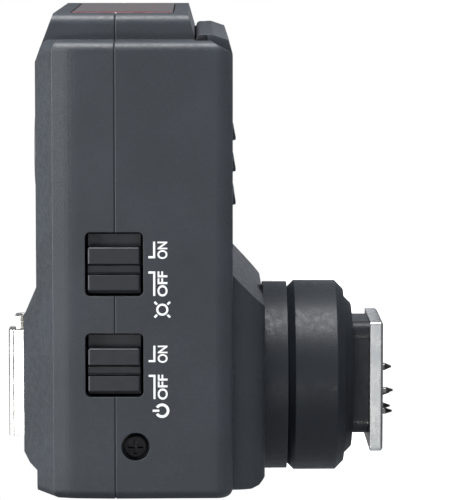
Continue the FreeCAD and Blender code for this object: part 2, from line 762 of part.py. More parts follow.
def make_hot_shoe():
    """A bent steel shoe: base plate, two side walls and two lips turned inwards."""
    rail = new_body("hot_shoe_rail")
    half_slot, half_gap = D.shoe_slot_width / 2, D.shoe_lip_gap / 2
    lip_z = D.deck_z + D.shoe_slot_height
    floor = D.deck_z - 0.8
    # outer walls down to the base, then the slot cut out below the lips
    pad(rail, "XZ", [rectangle(-D.shoe_half_width, D.shoe_half_width, floor, D.shoe_top_z)],
        (D.shoe_front_y, D.shoe_rear_y))
    pocket(rail, "XZ", [rectangle(-half_slot, half_slot, D.deck_z, lip_z)],
           (D.shoe_front_y - 1, D.shoe_rear_y + 1))
    pocket(rail, "XZ", [rectangle(-half_gap, half_gap, D.deck_z, D.shoe_top_z + 1)],
           (D.shoe_front_y - 1, D.shoe_rear_y + 1))
    dress(rail, "Fillet", 0.9,
          lambda e: runs_along(e, "y") and near(e.CenterOfMass.z, D.shoe_top_z)
          and abs(e.CenterOfMass.x) > 10)
    window = rectangle(-5.4, 5.4, D.shoe_front_y + 3.6, D.shoe_rear_y - 3.6)
    pocket(rail, "XY", [window], (floor - 1, D.deck_z + 0.5))
    heads = [Ring(x, y, 1.55) for x, y in shoe_screw_spots()]
    pocket(rail, "XY", heads, (floor - 1, D.deck_z + 0.5))
    bed = block((-5.4, 5.4), (D.shoe_front_y + 3.6, D.shoe_rear_y - 3.6), (floor, D.deck_z))
    spots = [(0.0, (D.shoe_front_y + D.shoe_rear_y) / 2, 1.6), (-3.4, 1.2, 0.7), (3.4, 1.2, 0.7),
             (-1.7, 3.0, 0.6), (1.7, 3.0, 0.6)]
    pads = [rod(radius, "z", (D.deck_z - 0.3, D.deck_z), x, y) for x, y, radius in spots]
    seats = [rod(radius, "z", (D.deck_z - 0.3, D.deck_z + 0.2), x, y) for x, y, radius in spots]
    node(cut(bed, *seats), "hot_shoe_block")
    node(group(*pads), "hot_shoe_contacts")
    screws = []
    for x, y in shoe_screw_spots():
        head = rod(1.5, "z", (floor, D.deck_z - 0.02), x, y)
        shank = rod(0.78, "z", (D.top_z - D.wall + 0.05, floor), x, y)
        slot = block((x - 1.1, x + 1.1), (y - 0.2, y + 0.2), (D.deck_z - 0.4, D.deck_z + 1))
        cross = block((x - 0.2, x + 0.2), (y - 1.1, y + 1.1), (D.deck_z - 0.4, D.deck_z + 1))
        screws.append(cut(fuse(head, shank), slot, cross))
    node(group(*screws), "hot_shoe_screws")
    plate = block((-10.6, 10.6), (D.shoe_front_y + 0.2, D.shoe_rear_y - 0.2),
                  (floor - 0.25, floor))
    gaps = [block((-8.6, 8.6), (D.shoe_front_y + 4.2, D.shoe_rear_y - 4.2), (floor - 1, floor + 1))]
    gaps += [rod(1.0, "z", (floor - 1, floor + 1), x, y) for x, y in shoe_screw_spots()]
    node(cut(plate, *gaps), "hot_shoe_spring")


# ---- slide switches ----------------------------------------------------------------------

def make_slide_switch(prefix, well_front):
    """A knob in its well on the -X side, and the switch that its stem moves."""
    well_rear = well_front + D.well_length
    rear = well_rear - D.knob_gap
    front = rear - D.knob_length
    middle = (front + rear) / 2
    low, high = D.knob_low_z, D.knob_high_z
    face_x = 0.15 - D.half_width
    floor_x = D.wall - D.half_width + 0.35
    cap = block((face_x, floor_x), (front, rear), (low, high))
    cap = soften(cap, 0.35, lambda e: near(e.CenterOfMass.x, face_x) or runs_along(e, "x"))
    band = block((face_x - 1, face_x + 0.55), (middle - 0.55, middle + 0.55), (low - 1, high + 1))
    grooves = [block((face_x - 1, face_x + 0.9), (y - 0.14, y + 0.14), (low - 1, high + 1))
               for y in (middle - 0.7, middle + 0.7)]
    centre_z = (low + high) / 2
    stem = block((floor_x, floor_x + 2.0), (middle - 0.8, middle + 0.8),
                 (centre_z - 1.0, centre_z + 1.0))
    node(cut(fuse(cap, stem), band, *grooves), f"{prefix}_switch_knob")
    case = block((floor_x + 0.1, 5.2 - D.half_width), (well_front + 0.4, well_rear - 0.2),
                 (D.well_low_z + 0.4, D.well_high_z - 0.4))
    slot = block((floor_x, floor_x + 2.3), (middle - 3.1, middle + 1.0),
                 (centre_z - 1.15, centre_z + 1.15))
    node(cut(case, slot), f"{prefix}_switch_body")


# ---- batteries ---------------------------------------------------------------------------

def make_battery_bay():
    """An open-bottomed tray with two cells, their springs and plates."""
    tray = new_body("battery_tray")
    inner_x, wall = 28.3, 1.0
    low, roof = D.base_z + D.wall + 0.15, D.cell_z + D.cell_radius + 0.08
    front, rear = D.front_cell_y - D.cell_radius - 0.2, D.rear_cell_y + D.cell_radius + 0.2
    pad(tray, "XY", [rectangle(-inner_x - wall, inner_x + wall, front - wall, rear + wall)],
        (low, roof + 0.75))
    pocket(tray, "XY", [rectangle(-inner_x, inner_x, front, rear)], (low - 1, roof))
    cells = []
    for y, plus in ((D.front_cell_y, 1), (D.rear_cell_y, -1)):
        half = D.cell_length / 2
        can = rod(D.cell_radius, "x", (-half + (0 if plus > 0 else 1.0),
                                       half - (1.0 if plus > 0 else 0)), y, D.cell_z)
        can = soften(can, 0.6, lambda e: e.Length > 40)
        end = half * plus
        nub = rod(2.7, "x", (end - 1.2, end) if plus > 0 else (end, end + 1.2), y, D.cell_z)
        cells.append(fuse(can, nub))
    node(group(*cells), "battery_cells")
    plates = [
        block((-inner_x, 0.35 - inner_x), (front + 1, rear - 1), (low + 2, roof - 1)),
        block((inner_x - 0.35, inner_x), (front + 1, D.front_cell_y + 6), (low + 2, roof - 1)),
        block((inner_x - 0.35, inner_x), (D.rear_cell_y - 6, rear - 1), (low + 2, roof - 1)),
    ]
    node(group(*plates), "battery_plates")
    springs = []
    for y, side in ((D.front_cell_y, -1), (D.rear_cell_y, 1)):
        near_end, far_end = 25.3, inner_x - 0.4
        span = (near_end, far_end) if side > 0 else (-far_end, -near_end)
        wide, narrow = (2.2, 4.0) if side > 0 else (4.0, 2.2)
        outer = cone(wide, narrow, "x", span, y, D.cell_z)
        inner = cone(wide - 0.6, narrow - 0.6, "x", span, y, D.cell_z)
        springs.append(cut(outer, inner))
    node(group(*springs), "battery_springs")


def make_battery_door():
    """The sliding, swinging cover: a floor plate, a front lip and three grip ridges."""
    door = new_body("battery_door")
    inner_z = D.base_z + D.door_thick
    axis_y, axis_z, knuckle = D.door_axis_y, D.door_axis_z, D.knuckle_radius
    profile = [
        (axis_y - knuckle, axis_z), (axis_y - knuckle, 26.6), (D.shoulder_y - 0.1, 24.4),
        (D.shoulder_y + 2.0, D.base_z),
    ]
    for tip in RIDGE_TIPS:
        profile += [(tip - 2.6, D.base_z), (tip - 0.35, D.base_z - RIDGE_DEPTH),
                    (tip + 0.1, D.base_z - RIDGE_DEPTH), (tip + 0.3, D.base_z)]
    profile += [
        (D.door_rear_y, D.base_z), (D.door_rear_y, inner_z), (D.shoulder_y + 0.8, inner_z),
        (axis_y + knuckle, 27.2), (axis_y + knuckle, axis_z),
    ]
    pad(door, "YZ", [profile], (-D.door_half_x, D.door_half_x))
    # the ridges keep to the middle third; the rest of the plate is smooth
    for side in (-1, 1):
        inner, outer = RIDGE_HALF_X, D.door_half_x + 1
        span = (inner, outer) if side > 0 else (-outer, -inner)
        pocket(door, "YZ", [rectangle(-42.0, -27.0, D.base_z - 2, D.base_z)], span)
    # the lip's top corners stand back for the hinge arms
    for low, high in ((ARM_INNER_X - 0.1, D.door_half_x + 1),
                      (-D.door_half_x - 1, 0.1 - ARM_INNER_X)):
        pocket(door, "YZ", [rectangle(axis_y - 2, axis_y + 2, 27.4, 31)], (low, high))
    pad(door, "YZ", [Ring(axis_y, axis_z, knuckle)], (0.1 - ARM_INNER_X, ARM_INNER_X - 0.1))
    pocket(door, "YZ", [Ring(axis_y, axis_z, D.hinge_pin_radius + D.running_gap)],
           (-ARM_INNER_X - 1, ARM_INNER_X + 1))
    dress(door, "Fillet", 0.5,
          lambda e: runs_along(e, "y") and near(e.CenterOfMass.z, D.base_z)
          and abs(e.CenterOfMass.x) > 31)
    arms = []
    for low, high in ((ARM_INNER_X, ARM_OUTER_X), (-ARM_OUTER_X, -ARM_INNER_X)):
        bar = block((low, high), (axis_y, -44.0), (axis_z - 0.65, axis_z + 0.55))
        eye = rod(0.65, "x", (low, high), axis_y, axis_z)
        bore = rod(D.hinge_pin_radius, "x", (low - 1, high + 1), axis_y, axis_z)
        arms.append(cut(fuse(bar, eye), bore))
    node(group(*arms), "door_arms")
    node(rod(D.hinge_pin_radius, "x", (-ARM_OUTER_X, ARM_OUTER_X), axis_y, axis_z),
         "door_hinge_pin")


ARM_INNER_X = 29.7
ARM_OUTER_X = 31.1
RIDGE_TIPS = (-39.1, -34.3, -29.2)
RIDGE_DEPTH = 0.65
RIDGE_HALF_X = 14.5


# ---- clamp and foot ----------------------------------------------------------------------

def make_clamp():
    """Collar, lock ring, clip and clamp disc, on one axis round the foot's neck."""
    y = D.stack_y
    neck_x, neck_y = D.neck_half_x, D.neck_half_y
    hub_radius = D.ring_bore - D.running_gap
    hub_low = 12.0
    collar = cut(
        fuse(rod(D.collar_radius, "z", (D.collar_z, D.turret_z), 0, y),
             rod(hub_radius, "z", (hub_low, D.collar_z), 0, y)),
        block((-neck_x, neck_x), (D.neck_y - neck_y, D.neck_y + neck_y), (hub_low - 1, 16.0)),
        cut(rod(hub_radius + 1, "z", (12.6, 13.3), 0, y), rod(11.3, "z", (12.5, 13.4), 0, y)),
        rod(4.0, "z", (15.9, D.turret_z + 1), 0, y),
        *[rod(0.8, "z", (16.5, D.turret_z + 1), x, spot_y) for x, spot_y in COLLAR_SCREWS])
    node(collar, "turret_collar")
    clip = cut(rod(12.55, "z", (12.7, 13.2), 0, y), rod(11.35, "z", (12, 14), 0, y),
               block((-1.2, 1.2), (y - 14, y - 8), (12, 14)))
    node(clip, "ring_clip")
    ring = new_body("lock_ring")
    gap = D.running_gap
    pad(ring, "XY", [Ring(0, y, D.ring_radius), Ring(0, y, D.ring_bore)],
        (D.ring_z + gap, D.collar_z - gap))
    dress(ring, "Chamfer", 1.3, lambda e: near(e.CenterOfMass.z, D.ring_z + gap)
          and e.Length > 90)
    dress(ring, "Chamfer", 1.1, lambda e: near(e.CenterOfMass.z, D.collar_z - gap)
          and e.Length > 90)
    pocket(ring, "XY", [Ring(0, y, 12.65), Ring(0, y, D.ring_bore - 0.5)], (12.6, 13.3))
    disc = new_body("clamp_disc")
    pad(disc, "XY", [Ring(0, y, D.disc_radius)], (D.disc_z, D.ring_z))
    pad(disc, "XY", [Ring(0, y, D.ring_bore - 0.1)], (D.ring_z, 11.6))
    dress(disc, "Chamfer", 1.1, lambda e: near(e.CenterOfMass.z, D.disc_z) and e.Length > 60)
    # the keyway slides on the neck; its corners are bevelled to stay inside the disc's taper
    side, end, bevel = neck_x + 0.12, neck_y + 0.12, 0.9
    keyway = both_sides([
        (side - bevel, D.neck_y - end), (side, D.neck_y - end + bevel),
        (side, D.neck_y + end - bevel), (side - bevel, D.neck_y + end),
    ])
    pocket(disc, "XY", [keyway], (D.disc_z - 1, 13))


PIN_SPOTS = {
    "contact_pin_centre": (0.0, -1.9), "contact_pin_left": (-4.6, 1.2),
    "contact_pin_right": (4.6, 2.9), "contact_pin_rear_left": (-2.65, 4.8),
    "contact_pin_rear_right": (2.65, 4.8),
}
PIN_TOP_Z = 5.2
FOOT_SCREWS = [(-4.0, -7.0), (4.0, -7.0)]
INSERT = (-6.3, 6.3, -4.4, 7.0)


def pin_radius_of(label):
    return D.centre_pin_radius if label == "contact_pin_centre" else D.pin_radius


def make_foot():
    """Neck, foot plate, insulating insert, spring contacts and screws."""
    y = D.neck_y
    neck = block((-D.neck_half_x, D.neck_half_x), (y - D.neck_half_y, y + D.neck_half_y),
                 (D.foot_thick, 16.0))
    neck = soften(neck, 1.4, lambda e: runs_along(e, "z"))
    wells = [rod(pin_radius_of(label) + 0.4, "z", (D.foot_thick - 1, PIN_TOP_Z + 2.0),
                 *spot) for label, spot in PIN_SPOTS.items()]
    screw_holes = [rod(0.8, "z", (D.foot_thick - 1, 7.2), *spot) for spot in FOOT_SCREWS]
    core = rod(2.2, "z", (9.0, 17.0), 0, D.stack_y)
    node(cut(neck, *wells, *screw_holes, core), "foot_neck")
    plate = new_body("foot_plate")
    half_x, half_y = D.foot_width / 2, D.foot_length / 2
    pad(plate, "XY", [rectangle(-half_x, half_x, -half_y, half_y)], (0, D.foot_thick))
    dress(plate, "Fillet", 0.6, lambda e: runs_along(e, "z"))
    dress(plate, "Chamfer", 0.35, lambda e: near(e.CenterOfMass.z, 0)
          and (e.CenterOfMass.y < -9.9))
    pocket(plate, "XY", [rectangle(*INSERT)], (-1, D.foot_thick + 1))
    pocket(plate, "XY", [Ring(*spot, 1.0) for spot in FOOT_SCREWS], (-1, D.foot_thick + 1))
    pocket(plate, "XY", [Ring(*spot, 1.55) for spot in FOOT_SCREWS], (-1, 0.9))
    slab = block(INSERT[:2], INSERT[2:], (0.0, D.foot_thick))
    bores = [rod(pin_radius_of(label) + D.running_gap, "z", (-1, D.foot_thick + 1), *spot)
             for label, spot in PIN_SPOTS.items()]
    node(cut(slab, *bores), "foot_insert")
    for label, spot in PIN_SPOTS.items():
        radius = pin_radius_of(label)
        shaft = rod(radius, "z", (-0.75, PIN_TOP_Z), *spot)
        tip = cone(0.14, radius, "z", (-D.pin_drop, -0.75), *spot)
        flange = rod(radius + 0.32, "z", (D.foot_thick + 0.05, D.foot_thick + 0.7), *spot)
        node(fuse(shaft, tip, flange), label)
    screws = []
    for x, spot_y in FOOT_SCREWS:
        head = rod(1.5, "z", (0.1, 0.9), x, spot_y)
        shank = rod(0.75, "z", (0.9, 7.0), x, spot_y)
        slots = [block((x - 1.0, x + 1.0), (spot_y - 0.2, spot_y + 0.2), (-1, 0.5)),
                 block((x - 0.2, x + 0.2), (spot_y - 1.0, spot_y + 1.0), (-1, 0.5))]
        screws.append(cut(fuse(head, shank), *slots))
    node(group(*screws), "foot_screws")


# ---- ports, chassis and screws -----------------------------------------------------------

def make_ports():
    """Sync socket and charging port behind the +X wall."""
    wall_x = D.half_width - D.wall - 0.35
    jack = cut(block((wall_x - 9.0, wall_x), (SYNC_Y - 2.9, SYNC_Y + 2.9), (PORT_Z - 2.9, PORT_Z + 2.9)),
               rod(1.27, "x", (wall_x - 8.0, wall_x + 1), SYNC_Y, PORT_Z))
    node(jack, "sync_jack")
    shell = block((wall_x - 7.3, wall_x + 0.8), (USB_Y - 4.47, USB_Y + 4.47),
                  (PORT_Z - 1.63, PORT_Z + 1.63))
    shell = soften(shell, 1.2, lambda e: runs_along(e, "x"))
    mouth = block((wall_x - 6.2, wall_x + 2), (USB_Y - 4.17, USB_Y + 4.17),
                  (PORT_Z - 1.28, PORT_Z + 1.28))
    mouth = soften(mouth, 1.1, lambda e: runs_along(e, "x"))
    tongue = block((wall_x - 6.3, wall_x - 0.2), (USB_Y - 3.3, USB_Y + 3.3),
                   (PORT_Z - 0.35, PORT_Z + 0.35))
    node(fuse(cut(shell, mouth), tongue), "usb_port")


def make_chassis():
    """The stiff inner frame: a deck at the parting line with legs for the side screws."""
    side = D.half_width - D.wall - 0.35
    plate = block((-side + 0.1, side - 0.1), (-2.0, D.rear_y - D.wall - 0.1), (D.parting_z, 42.4))
    legs = []
    for low, high in ((-side + 0.1, -side + 3.6), (side - 3.6, side - 0.1)):
        legs.append(block((low, high), (SIDE_SCREW_Y - 2.6, SIDE_SCREW_Y + 2.6), (34.6, 41.6)))
    taps = [rod(0.8, "x", (low, high), SIDE_SCREW_Y, SIDE_SCREW_Z)
            for low, high in ((-D.half_width, -25), (25, D.half_width))]
    lower = block((-12, 12), (-8.0, 10.5), (D.base_z + D.wall, D.base_z + D.wall + 1.4))
    posts = [block((x - 1.5, x + 1.5), (-1.5, 1.5), (D.base_z + D.wall, 41.6)) for x in (-10, 10)]
    wires = rod(3.0, "z", (20, 30), 0, D.stack_y)
    screws = [rod(1.0, "z", (20, 30), x, y) for x, y in COLLAR_SCREWS]
    node(cut(fuse(plate, *legs, lower, *posts), *taps, wires, *screws), "chassis")


def make_screws():
    """Two side screws and four collar screws, all cross-headed."""
    side_screws = []
    head_span = 1.5 - 0.25
    for sign in (-1, 1):
        outer = D.half_width - 1.5 + head_span
        inner = D.half_width - 1.5
        tip = D.half_width - 6.0
        span = (inner, outer) if sign > 0 else (-outer, -inner)
        shank_span = (tip, inner) if sign > 0 else (-inner, -tip)
        head = rod(1.8, "x", span, SIDE_SCREW_Y, SIDE_SCREW_Z)
        head = soften(head, 0.35, lambda e: near(abs(e.CenterOfMass.x), outer) and e.Length > 5)
        shank = rod(0.78, "x", shank_span, SIDE_SCREW_Y, SIDE_SCREW_Z)
        slot_span = (outer - 0.8, outer + 1) if sign > 0 else (-outer - 1, 0.8 - outer)
        slots = [block(slot_span, (SIDE_SCREW_Y - 1.15, SIDE_SCREW_Y + 1.15),
                       (SIDE_SCREW_Z - 0.24, SIDE_SCREW_Z + 0.24)),
                 block(slot_span, (SIDE_SCREW_Y - 0.24, SIDE_SCREW_Y + 0.24),
                       (SIDE_SCREW_Z - 1.15, SIDE_SCREW_Z + 1.15))]
        side_screws.append(cut(fuse(head, shank), *slots))
    node(group(*side_screws), "side_screws")
    collar_screws = []
    for x, y in COLLAR_SCREWS:
        top = D.base_z + D.wall + 1.4
        head = rod(1.6, "z", (top, top + 1.1), x, y)
        shank = rod(0.78, "z", (16.6, top), x, y)
        collar_screws.append(fuse(head, shank))
    node(group(*collar_screws), "collar_screws")


make_upper_shell()
make_lower_shell()
make_af_parts()
make_top_panel()
make_display()
for button, place in GROUP_SPOTS.items():
    make_key(button, place, GROUP_SIZE)
for button, place in FUNCTION_SPOTS.items():
    make_key(button, place, FUNCTION_SIZE)
make_round_key("test_button", *TEST_SPOT, TEST_RADIUS)
make_dial()
make_status_lamp()
make_boards()
make_hot_shoe()
make_slide_switch("af", D.af_well_y)
make_slide_switch("power", D.power_well_y)
make_battery_bay()
make_battery_door()
make_clamp()
make_foot()
make_ports()
make_chassis()
make_screws()
doc.recompute()

for thing in doc.Objects:
    assert not {"Invalid", "Error"} & set(thing.State), f"{thing.Label} failed: {thing.State}"
os.makedirs("parts", exist_ok=True)
for thing in nodes:
    shape = thing.Shape
    assert not shape.isNull() and shape.isValid() and shape.Solids, f"{thing.Label} has no solid"
    shape.exportStep(f"parts/{thing.Label}.step")
print(len(nodes), "sub-parts,", round(sum(thing.Shape.Volume for thing in nodes)), "mm3")
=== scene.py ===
"""The looks of the wireless flash trigger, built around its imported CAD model. Metres, +Z up."""

import json
from math import cos, pi, radians, sin

import bmesh
import bpy
from mathutils import Matrix, Vector

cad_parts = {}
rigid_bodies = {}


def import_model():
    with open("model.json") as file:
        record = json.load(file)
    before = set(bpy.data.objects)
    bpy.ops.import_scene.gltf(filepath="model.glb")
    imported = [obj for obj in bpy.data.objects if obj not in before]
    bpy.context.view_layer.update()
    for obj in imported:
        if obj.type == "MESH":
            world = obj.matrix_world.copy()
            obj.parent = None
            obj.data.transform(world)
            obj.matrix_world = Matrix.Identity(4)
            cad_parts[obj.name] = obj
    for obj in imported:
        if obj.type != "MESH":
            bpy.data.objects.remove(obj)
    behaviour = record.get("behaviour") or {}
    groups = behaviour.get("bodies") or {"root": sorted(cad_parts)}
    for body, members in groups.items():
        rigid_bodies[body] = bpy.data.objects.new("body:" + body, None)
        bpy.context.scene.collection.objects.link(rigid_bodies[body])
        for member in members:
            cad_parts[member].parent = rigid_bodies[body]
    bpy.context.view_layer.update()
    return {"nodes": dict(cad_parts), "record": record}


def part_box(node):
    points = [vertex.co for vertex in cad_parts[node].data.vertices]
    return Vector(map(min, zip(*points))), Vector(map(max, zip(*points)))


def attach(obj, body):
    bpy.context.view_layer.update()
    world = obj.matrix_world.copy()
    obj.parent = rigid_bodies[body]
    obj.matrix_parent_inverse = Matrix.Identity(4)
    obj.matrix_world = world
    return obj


MM = 0.001

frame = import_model()


def at(x, y, z):
    """A point given in millimetres."""
    return Vector((x, y, z)) * MM


# ---- camera -------------------------------------------------------------------------------

CAMERA_FROM = at(-500.0, -73.2, 29.2)  # off the switch side, level with the body
CAMERA_TO = at(0.0, -20.5, 24.4)
CAMERA_LENS = 229.0
CAMERA_SENSOR = 36.0
CAMERA_CLIP = (0.01, 10.0)
CAMERA_UP = Vector((0, -1, 0))  # the front of the trigger is up in the picture


def look_matrix(eye, target, up):
    """Stands at `eye` and looks down its own -Z at `target`."""
    back = (eye - target).normalized()
    right = up.cross(back).normalized()
    upward = back.cross(right)
    matrix = Matrix((right, upward, back)).transposed().to_4x4()
    matrix.translation = eye
    return matrix


def make_camera():
    data = bpy.data.cameras.new("camera")
    data.lens = CAMERA_LENS
    data.sensor_width = CAMERA_SENSOR
    data.clip_start, data.clip_end = CAMERA_CLIP
    camera = bpy.data.objects.new("camera", data)
    camera.matrix_world = look_matrix(CAMERA_FROM, CAMERA_TO, CAMERA_UP)
    bpy.context.scene.collection.objects.link(camera)
    bpy.context.scene.camera = camera


# ---- light and floor ----------------------------------------------------------------------

BODY_CENTRE = at(0.0, -22.0, 32.0)
FLOOR_Z = -2.2
FLOOR_SIDE = 1600.0
WALL_STRENGTH = 0.2
PAPER_GLOW = 0.97


def add_softbox(name, eye, size, power):
    """A rectangular light aimed at the body; size in millimetres, power in watts."""
    data = bpy.data.lights.new(name, "AREA")
    data.shape = "RECTANGLE"
    data.size, data.size_y = size[0] * MM, size[1] * MM
    data.energy = power
    light = bpy.data.objects.new(name, data)
    up = Vector((1, 0, 0)) if abs((eye - BODY_CENTRE).normalized().x) < 0.9 else Vector((0, 0, 1))
    light.matrix_world = look_matrix(eye, BODY_CENTRE, up)
    bpy.context.scene.collection.objects.link(light)


def split_by_ray(tree, unseen, seen, output):
    """The camera sees one shader, and every other ray meets the other."""
    path = tree.nodes.new("ShaderNodeLightPath")
    mix = tree.nodes.new("ShaderNodeMixShader")
    tree.links.new(path.outputs["Is Camera Ray"], mix.inputs["Fac"])
    tree.links.new(unseen.outputs[0], mix.inputs[1])
    tree.links.new(seen.outputs[0], mix.inputs[2])
    tree.links.new(mix.outputs[0], tree.nodes[output].inputs["Surface"])


def make_lights():
    add_softbox("front_softbox", at(-110.0, -420.0, 70.0), (420, 240), 5.2)
    add_softbox("top_softbox", at(-150.0, -80.0, 440.0), (420, 420), 3.9)
    # a card by the camera, placed where the roof shoe's side mirrors it
    add_softbox("side_card", at(-500.0, 75.0, 105.0), (90, 150), 0.2)
    world = bpy.data.worlds.new("studio")
    world.use_nodes = True
    tree = world.node_tree
    seen = tree.nodes["Background"]
    seen.inputs["Color"].default_value = (1, 1, 1, 1)
    seen.inputs["Strength"].default_value = 1.0
    # the backdrop is plain white, while the studio walls that light the object are dimmer
    walls = tree.nodes.new("ShaderNodeBackground")
    walls.inputs["Color"].default_value = (0.93, 0.96, 1.0, 1)
    walls.inputs["Strength"].default_value = WALL_STRENGTH
    split_by_ray(tree, walls, seen, "World Output")
    bpy.context.scene.world = world
    bpy.context.scene.view_settings.view_transform = "Standard"


def make_floor():
    half = FLOOR_SIDE / 2
    corners = [at(x, y, FLOOR_Z) for x, y in
               ((-half, -half), (half, -half), (half, half), (-half, half))]
    mesh = bpy.data.meshes.new("floor")
    mesh.from_pydata(corners, [], [(0, 1, 2, 3)])
    floor = bpy.data.objects.new("floor", mesh)
    bpy.context.scene.collection.objects.link(floor)
    material = bpy.data.materials.new("floor_white")
    material.use_nodes = True
    tree = material.node_tree
    paper = tree.nodes["Principled BSDF"]
    paper.inputs["Base Color"].default_value = (0.82, 0.82, 0.82, 1)
    paper.inputs["Roughness"].default_value = 0.7
    paper.inputs["Emission Color"].default_value = (1, 1, 1, 1)
    paper.inputs["Emission Strength"].default_value = PAPER_GLOW
    # the paper glows for the eye only, so that it throws little light up at the object
    bounce = tree.nodes.new("ShaderNodeBsdfDiffuse")
    bounce.inputs["Color"].default_value = (0.36, 0.38, 0.41, 1)
    split_by_ray(tree, bounce, paper, "Material Output")
    mesh.materials.append(material)


# ---- materials ----------------------------------------------------------------------------

MIX_COLOUR_A, MIX_COLOUR_B, MIX_COLOUR_RESULT = 6, 7, 2  # the colour sockets of a Mix node


class Surface:
    """A procedural material under construction: one Principled shader and its textures."""

    def __init__(self, name, colour, roughness, metallic=0.0):
        self.material = bpy.data.materials.new(name)
        self.material.use_nodes = True
        self.tree = self.material.node_tree
        self.shader = self.tree.nodes["Principled BSDF"]
        self.colour, self.roughness = colour, roughness
        self.set("Base Color", (*colour, 1))
        self.set("Roughness", roughness)
        self.set("Metallic", metallic)
        self.place = self.tree.nodes.new("ShaderNodeTexCoord")
        self.normal = None

    def set(self, socket, value):
        self.shader.inputs[socket].default_value = value
        return self

    def link(self, start, end):
        self.tree.links.new(start, end)

    def noise(self, per_mm, detail=2.0, stretch=(1, 1, 1)):
        """Noise whose features are about 1 / per_mm across, stretched along an axis."""
        mapping = self.tree.nodes.new("ShaderNodeMapping")
        mapping.inputs["Scale"].default_value = stretch
        self.link(self.place.outputs["Object"], mapping.inputs["Vector"])
        noise = self.tree.nodes.new("ShaderNodeTexNoise")
        noise.inputs["Scale"].default_value = per_mm / MM
        noise.inputs["Detail"].default_value = detail
        self.link(mapping.outputs[0], noise.inputs["Vector"])
        return noise.outputs["Fac"]

    def ramp(self, source, low, high, start=0.35, end=0.65):
        node = self.tree.nodes.new("ShaderNodeMapRange")
        node.inputs["From Min"].default_value = start
        node.inputs["From Max"].default_value = end
        node.inputs["To Min"].default_value = low
        node.inputs["To Max"].default_value = high
        self.link(source, node.inputs["Value"])
        return node.outputs[0]

    def tint(self, spread, *sources):
        """Colour varies by +-spread with each of the given noises in turn."""
        previous = None
        for source in sources:
            mix = self.tree.nodes.new("ShaderNodeMix")
            mix.data_type = "RGBA"
            mix.blend_type = "MULTIPLY"
            mix.inputs["Factor"].default_value = 1.0
            colour_in = mix.inputs[MIX_COLOUR_A]
            colour_in.default_value = (*self.colour, 1)
            if previous is not None:
                self.link(previous, colour_in)
            self.link(self.ramp(source, 1 - spread, 1 + spread), mix.inputs[MIX_COLOUR_B])
            previous = mix.outputs[MIX_COLOUR_RESULT]
        self.link(previous, self.shader.inputs["Base Color"])
        return self

    def polish(self, spread, source):
        """Roughness varies by +-spread with a noise."""
        value = self.ramp(source, self.roughness - spread, self.roughness + spread)
        self.link(value, self.shader.inputs["Roughness"])
        return self

    def round_edges(self, radius_mm):
        bevel = self.tree.nodes.new("ShaderNodeBevel")
        bevel.samples = 6
        bevel.inputs["Radius"].default_value = radius_mm * MM
        self.normal = bevel.outputs[0]
        self.link(self.normal, self.shader.inputs["Normal"])
        return self

    def bump(self, source, height_mm, strength=1.0):
        node = self.tree.nodes.new("ShaderNodeBump")
        node.inputs["Distance"].default_value = height_mm * MM
        node.inputs["Strength"].default_value = strength
        self.link(source, node.inputs["Height"])
        if self.normal is not None:
            self.link(self.normal, node.inputs["Normal"])
        self.normal = node.outputs[0]
        self.link(self.normal, self.shader.inputs["Normal"])
        return self


def eroded_plastic(name, colour, roughness, grain=3.2):
    """Moulded plastic with the fine even grain of a spark-eroded mould."""
    surface = Surface(name, colour, roughness)
    fine, broad = surface.noise(grain, 3.0), surface.noise(0.09, 2.0)
    surface.tint(0.10, fine, broad).polish(0.06, surface.noise(1.1)).round_edges(0.18)
    surface.bump(fine, 0.022, 0.8)
    return surface.set("Specular IOR Level", 0.42)


def satin_plastic(name, colour, roughness, edge=0.1):
    surface = Surface(name, colour, roughness)
    fine = surface.noise(5.0, 2.0)
    surface.tint(0.06, fine, surface.noise(0.2)).polish(0.04, surface.noise(1.5))
    return surface.round_edges(edge).bump(fine, 0.006, 0.5)


def rubber(name, colour, roughness):
    surface = Surface(name, colour, roughness)
    fine = surface.noise(6.0, 3.0)
    surface.tint(0.08, fine, surface.noise(0.35)).polish(0.05, surface.noise(1.0))
    surface.round_edges(0.2).bump(fine, 0.01, 0.6)
    return surface.set("Sheen Weight", 0.15)


def plated_metal(name, colour, roughness, brush=(1, 1, 1), grain=4.0):
    """Plated or rolled metal: a fine directional grain and cloudy handling marks."""
    surface = Surface(name, colour, roughness, metallic=1.0)
    lines, cloud = surface.noise(grain, 3.0, brush), surface.noise(0.35, 3.0)
    surface.tint(0.07, lines, cloud).polish(0.08, cloud).round_edges(0.08)
    return surface.bump(lines, 0.008, 0.7)


def polished_filter(name, colour):
    """The deep red moulded filter over the focus-assist lamps."""
    surface = Surface(name, colour, 0.09)
    cloud = surface.noise(0.12, 2.0)
    surface.tint(0.12, cloud).polish(0.03, surface.noise(0.8)).round_edges(0.3)
    surface.bump(surface.noise(0.5), 0.004, 0.3)
    surface.set("Coat Weight", 0.9).set("Coat Roughness", 0.04)
    return surface.set("Subsurface Weight", 0.25).set("Subsurface Scale", 2.0 * MM)


def clear_plastic(name, colour, roughness, weight):
    surface = Surface(name, colour, roughness)
    surface.polish(0.02, surface.noise(0.6)).bump(surface.noise(0.3), 0.002, 0.2)
    return surface.set("Transmission Weight", weight).set("IOR", 1.49)


def circuit_board(name, colour):
    """Solder mask, darker over the laminate and lighter where copper runs under it."""
    surface = Surface(name, colour, 0.32)
    runs = surface.noise(0.55, 0.0, (1, 0.12, 1))
    surface.tint(0.35, runs, surface.noise(2.0)).polish(0.06, surface.noise(1.0))
    return surface.round_edges(0.06).bump(runs, 0.02, 0.4)


